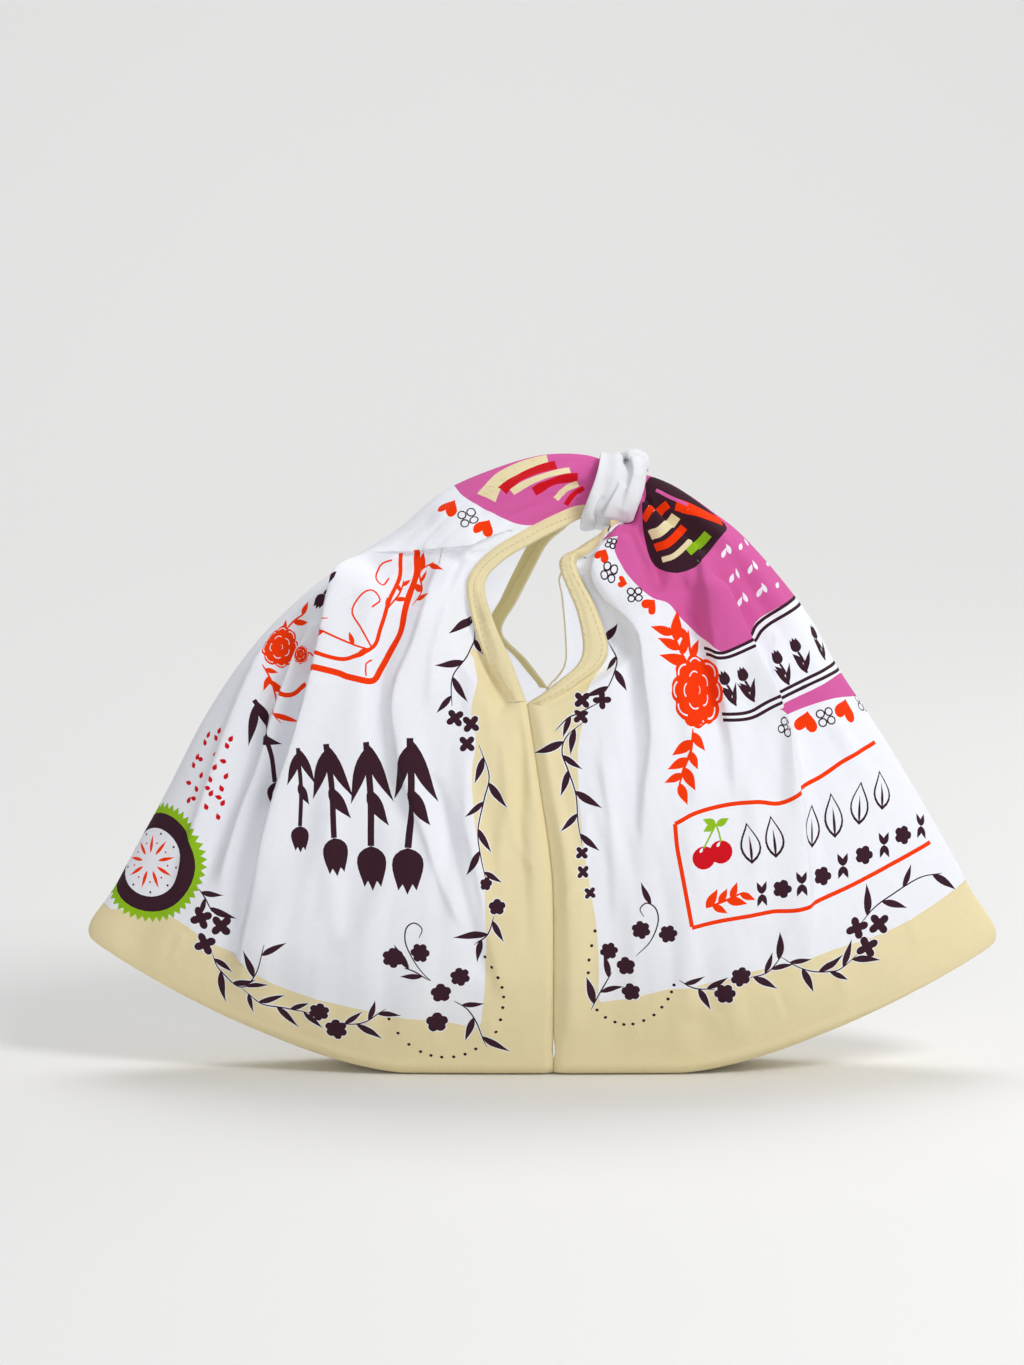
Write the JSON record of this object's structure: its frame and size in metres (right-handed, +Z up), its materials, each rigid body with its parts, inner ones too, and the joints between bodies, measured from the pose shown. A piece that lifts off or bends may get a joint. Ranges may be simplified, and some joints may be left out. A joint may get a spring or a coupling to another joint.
{
  "type": "knot bag",
  "caption": "Soft cotton knot bag with a V mouth, upswept corners and tied straps forming a loop handle, standing on its flat base.",
  "frame": {"origin": "centre of the bounding box on the surface the bag stands on", "axes": "+Z up, +X to the bag's right as seen from the front, the front faces -Y"},
  "size_m": [0.499, 0.1051, 0.3458],
  "materials": {
    "printed_cotton": "plain-weave cotton, matt, printed in aubergine, orange, pink and red on white with a cream border",
    "white_cotton": "plain-weave cotton, matt, unprinted reverse"
  },
  "bodies": {
    "root": {"panel_left": "printed_cotton", "panel_right": "printed_cotton", "knot_wrap": "white_cotton", "knot_tail": "white_cotton"}
  },
  "joints": []
}
